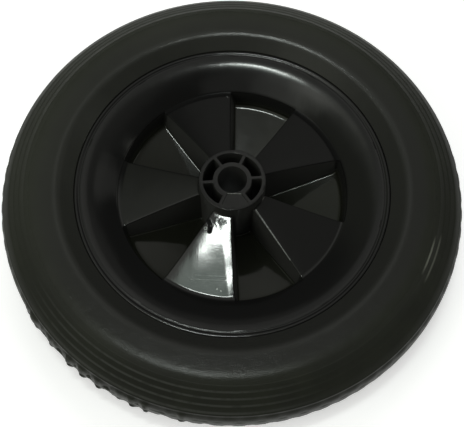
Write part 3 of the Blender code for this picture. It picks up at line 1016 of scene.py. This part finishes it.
def rubber_material():
    """Dark rubber with an olive bloom, smoother on the crown, duller outside, paler toward one
    side.
    """
    n, material, shader = new_material("tyre_rubber_moulded")
    cloud = n.noise(42.0, 5.0, 0.6)
    patch = n.noise(260.0, 4.0, 0.6)

    base = n.mix(n.by_radius(73.5, 75.5), RUBBER_FLANK, RUBBER_CROWN)
    base = n.mix(n.by_radius(80.0, 85.0), base, RUBBER_OUTSIDE)
    bloom = n.product(n.span(cloud, 0.40, 0.66), n.by_radius(80.0, 88.0), 0.5)
    base = n.mix(bloom, base, RUBBER_BLOOM)
    # Paler in patches toward one side of the tyre, more so outside the crown
    pale_side = n.product(n.span(n.toward_angle(PALE_SIDE_ANGLE), -0.55, 0.85),
                     n.span(n.noise(28.0, 5.0, 0.6), 0.30, 0.62, 0.55, 1.0),
                     n.by_radius(74.0, 88.0, 0.35, 0.85))
    base = n.mix(pale_side, base, RUBBER_PALE_SIDE)
    specks = n.product(n.span(n.noise(900.0, 3.0, 0.6), 0.60, 0.75), 0.30)
    base = n.mix(specks, base, RUBBER_SPECK)

    # Painted highlights on the ridges' crests, where the ridges would mirror the lamps: a broad one
    # in one stretch and a bright glint in another
    from_crest = n.math("SUBTRACT", n.axis_distance, HIGHLIGHT_CREST_RADIUS * MM)
    from_crest = n.math("PINGPONG", from_crest, RIDGE_PITCH * MM / 2)
    crest = n.product(n.span(from_crest, CREST_TOP * MM, CREST_FOOT * MM, 1.0, 0.0),
                      n.by_radius(87.2, 87.8))
    ridge_highlight = n.product(n.span(n.toward_angle(RIDGE_HIGHLIGHT_ANGLE), 0.70, 0.98), n.by_radius(89.0, 89.6),
                     n.span(patch, 0.34, 0.52, 0.45, 0.9))
    base = n.mix(n.product(crest, ridge_highlight), base, RUBBER_RIDGE_HIGHLIGHT)
    # Painted glint: a narrow bright streak on the inner ridges' crests
    ridge_glint = n.product(n.span(n.toward_angle(RIDGE_GLINT_ANGLE), 0.9785, 0.9868),
                       n.by_radius(88.5, 92.5, 1.0, 0.0))
    base = n.mix(n.product(crest, ridge_glint, 0.9), base, RUBBER_RIDGE_GLINT)

    rough = n.total(n.by_radius(85.0, 89.0, 0.0, 0.20), n.math("MULTIPLY_ADD", patch, 0.14, 0.14))
    shine = n.total(n.by_radius(75.2, 77.5, 0.34, 0.16), n.by_radius(86.0, 91.5, 0.0, -0.13),
                    n.by_radius(95.5, 97.5, 0.0, 0.06))
    grain = n.bump(n.noise(2600.0, 3.0, 0.6), 0.20, 0.0002)
    dapple = n.bump(n.noise(230.0, 4.0, 0.55), 0.16, 0.0006, grain)
    n.feed(shader, {"Base Color": base, "Roughness": rough, "Specular IOR Level": shine,
                    "Normal": n.bump(cloud, 0.10, 0.0020, dapple)})
    return material


def plastic_marks(n):
    """Shares of the plastic that are a torn pit, and that are pale from scratches and specks."""
    pit = n.chain("MAXIMUM", *(n.spot(*spot) for spot in PIT_SPOTS))
    pit = n.product(pit, n.span(n.noise(1100.0, 3.0, 0.6), 0.28, 0.40))
    pale = n.chain("MAXIMUM", *(n.product(n.stroke(start, end, width), strength)
                                for start, end, width, strength in SCRATCHES))
    for place, size in SPECKS:
        pale = n.math("MULTIPLY_ADD", n.spot(place, size), SPECK_STRENGTH, pale)
    pale = n.product(pale, n.span(n.noise(900.0, 2.0, 0.5), 0.35, 0.55, 0.55, 1.0))
    curl = n.math("SUBTRACT", n.spot(CURL_PLACE, CURL_OUTER), n.spot(CURL_PLACE, CURL_INNER),
                  clamp=True)
    return pit, n.math("MAXIMUM", pale, n.product(curl, 0.5))


def plastic_normal(n):
    """Normals with slight sink marks and a fine grain, leaning where the faces are warped."""
    sink = n.bump(n.noise(38.0, 2.0, 0.5), 0.07, 0.0040)
    drawn = n.noise(60.0, 4.0, 0.6, 0.0, n.stretched((5.0, 0.6, 0.6)))
    sink = n.bump(drawn, 0.025, 0.0010, sink)
    normal = n.bump(n.noise(1500.0, 2.0, 0.5), 0.05, 0.0001, sink)
    (rim_y, rim_share), (hub_y, hub_share) = WARP_AT_RIM, WARP_AT_HUB
    warp = n.product(n.stroke(*WARP_STRIP),
                     n.span(n.noise(420.0, 4.0, 0.65, 0.8), 0.30, 0.44, 0.55, 1.0),
                     n.span(n.part(n.place, "Y"), rim_y * MM, hub_y * MM, rim_share, hub_share,
                            kind="LINEAR"))
    swirl = n.product(n.spot(SWIRL_PLACE, SWIRL_RADIUS),
                      n.span(n.noise(300.0, 3.0, 0.6, 1.5), 0.38, 0.58, 0.0, 1.3))
    lean = n.vector("SCALE", (0.0, WARP_LEAN, 0.0), scale=n.math("MAXIMUM", warp, swirl))
    return n.vector("NORMALIZE", n.vector("ADD", normal, lean))


def plastic_material():
    """Glossy black plastic with sink marks, scratches, a torn pit and a warped strip."""
    n, material, shader = new_material("wheel_plastic_gloss")
    pit, pale = plastic_marks(n)
    # Steep walls and sunk floors get a lighter colour than the faces: painted light in the pockets'
    # shade
    steep_painted_lighter = n.product(n.span(n.math("ABSOLUTE", n.facing()), 0.25, 0.50, 1.0, 0.0),
                      n.by_radius(47.2, 48.4, 1.0, 0.35))
    sunk = n.math("LESS_THAN", n.product(n.facing(), n.part(n.place, "Z")), 0.0)
    base = n.mix(steep_painted_lighter, n.mix(sunk, PLASTIC_FACE, PLASTIC_FLOOR_PAINTED_LIGHT), PLASTIC_WALL_PAINTED_LIGHT)

    dull_crease = n.product(n.by_radius(47.0, 48.0), n.by_radius(49.5, 51.0, 1.0, 0.0),
                            n.span(n.part(n.place, "Y"), -5.0 * MM, 10.0 * MM),
                            n.math("SUBTRACT", 1.0, sunk))
    rough = n.math("MULTIPLY_ADD", n.noise(75.0, 3.0, 0.55, 0.6), 0.08, 0.03)
    rough = n.math("MULTIPLY_ADD", n.noise(700.0, 3.0, 0.6), 0.03, rough)
    rough = n.math("MULTIPLY_ADD", pit, 0.5, rough)
    rough = n.total(n.by_radius(50.0, 57.0, 0.0, 0.070), rough)
    rough = n.math("MULTIPLY_ADD", dull_crease, 0.15, rough)
    rough = n.math("MULTIPLY_ADD", steep_painted_lighter, 0.42, rough)
    shine = n.math("MULTIPLY_ADD", n.math("MAXIMUM", pit, dull_crease), -0.45, 0.5)
    n.feed(shader, {"Base Color": n.mix(pale, base, PLASTIC_SCRATCH), "Roughness": rough,
                    "Specular IOR Level": shine, "Normal": plastic_normal(n)})
    return material


def flash_material():
    """The same plastic where it tore at the gate, paler and rough."""
    n, material, shader = new_material("torn_plastic")
    tone = n.noise(1800.0, 3.0, 0.6)
    base = n.mix(n.span(tone, 0.35, 0.65), TORN_DARK, TORN_PALE)
    n.feed(shader, {"Base Color": base, "Roughness": 0.4, "Normal": n.bump(tone, 0.5, 0.0002)})
    return material


def dress(thing, material, node=None):
    """Give a piece its material and its body, and hide the CAD node that it stands for."""
    thing.data.materials.clear()
    thing.data.materials.append(material)
    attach(thing, "root")
    if node:
        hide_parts(node)


def make_floor():
    """A pale floor that takes the wheel's shadow and comes out white, but for painted shade under
    the wheel.
    """
    mesh = bpy.data.meshes.new("floor")
    ends = (-FLOOR_SIZE, FLOOR_SIZE)
    corners = [(x, y, cad_low.z) for x in ends for y in ends]
    mesh.from_pydata(corners, [], [(0, 2, 3, 1)])
    floor = add_object("floor", mesh)
    n, material, shader = new_material("floor_paper")
    rays = n.new("LightPath").outputs
    seen = n.chain("MAXIMUM", rays["Is Camera Ray"], rays["Is Glossy Ray"],
                   rays["Is Transmission Ray"])
    # The added light fades out under the wheel: painted shade there
    glow_with_painted_shade = n.by_radius(FLOOR_GLOW_START, FLOOR_GLOW_FULL, 0.0, FLOOR_GLOW)
    n.feed(shader, {"Base Color": FLOOR_TONE, "Roughness": 0.9, "Specular IOR Level": 0.1,
                    "Emission Color": (1.0, 1.0, 1.0), "Emission Strength": n.product(seen, glow_with_painted_shade)})
    mesh.materials.append(material)


def toward(x, y):
    """Direction that leans from straight up by x degrees to the right and y to the back."""
    lean = hypot(x, y)
    side = sin(radians(lean)) / lean
    return Vector((x * side, y * side, cos(radians(lean))))


def make_world():
    """A dim room with soft patches of light, mostly overhead and to the left."""
    world = bpy.data.worlds.new("studio")
    bpy.context.scene.world = world
    n = Nodes(world, "Generated")
    light = ROOM_WALLS
    for right, back, inner, outer, colour in ROOM_GLOWS:
        nearness = n.vector("DOT_PRODUCT", n.place, toward(right, back))
        share = n.span(nearness, cos(radians(outer)), cos(radians(inner)), kind="SMOOTHERSTEP")
        light = n.vector("ADD", light, n.vector("SCALE", colour, scale=share))
    n.put(n.tree.nodes["Background"].inputs["Color"], light)


def stand(thing, place, right, up, back):
    """Put an object at a place with its axes turned to these directions."""
    turn = Matrix((right, up, back)).transposed().to_4x4()
    thing.matrix_world = Matrix.Translation(place) @ turn


def area_light(name, away, distance, size, radiance, colour=(1.0, 1.0, 1.0), glossy=True):
    """A soft elliptic lamp in a direction from the wheel, with its brightness given as radiance."""
    lamp = bpy.data.lights.new(name, "AREA")
    lamp.shape = "ELLIPSE"
    lamp.size, lamp.size_y = size
    lamp.energy = radiance * pi * size[0] * size[1] / 4 * pi
    lamp.color = colour
    thing = add_object(name, lamp)
    thing.visible_glossy = glossy
    back = away.normalized()
    across = Vector((0.0, 1.0, 0.0)).cross(back).normalized()
    stand(thing, back * distance, across, back.cross(across), back)


def make_lights():
    """Two lamps straight overhead that the web mirrors, and broad ones that only light it."""
    area_light("ceiling_lamp", toward(-4.4, 1.23), 2.0, (0.435, 0.097), 52.0, (0.94, 1.0, 0.96))
    area_light("ceiling_panel", toward(-6.0, -1.2), 2.05, (0.60, 0.36), 2.25, (0.82, 1.0, 0.89))
    for name, away, radiance in SOFT_LAMPS:
        area_light(name, Vector(away), SOFT_DISTANCE, SOFT_SIZE, radiance, glossy=False)


def make_camera():
    """The photograph's camera, with its axes made square."""
    data = bpy.data.cameras.new("camera")
    data.sensor_fit = "HORIZONTAL"
    data.sensor_width = CAMERA_SENSOR
    data.lens = CAMERA_LENS
    data.clip_start = 0.01
    data.clip_end = 50.0
    camera = add_object("camera", data)
    forward = Vector(CAMERA_FORWARD).normalized()
    up = Vector(CAMERA_RIGHT).normalized().cross(forward).normalized()
    right = forward.cross(up).normalized()
    stand(camera, CAMERA_PLACE, right, up, -forward)
    bpy.context.scene.camera = camera


bpy.context.scene.view_settings.view_transform = "Standard"

make_camera()
make_floor()
make_world()
make_lights()

rubber = rubber_material()
gloss = plastic_material()

tyre = build_tyre()
soften(tyre, RUBBER_SMOOTH_ANGLE)
dress(tyre, rubber, "tyre")

centre = build_wheel_centre()
soften(centre, PLASTIC_SMOOTH_ANGLE)
dress(centre, gloss, "wheel_centre")

flash = build_gate_flash()
dress(flash, flash_material())
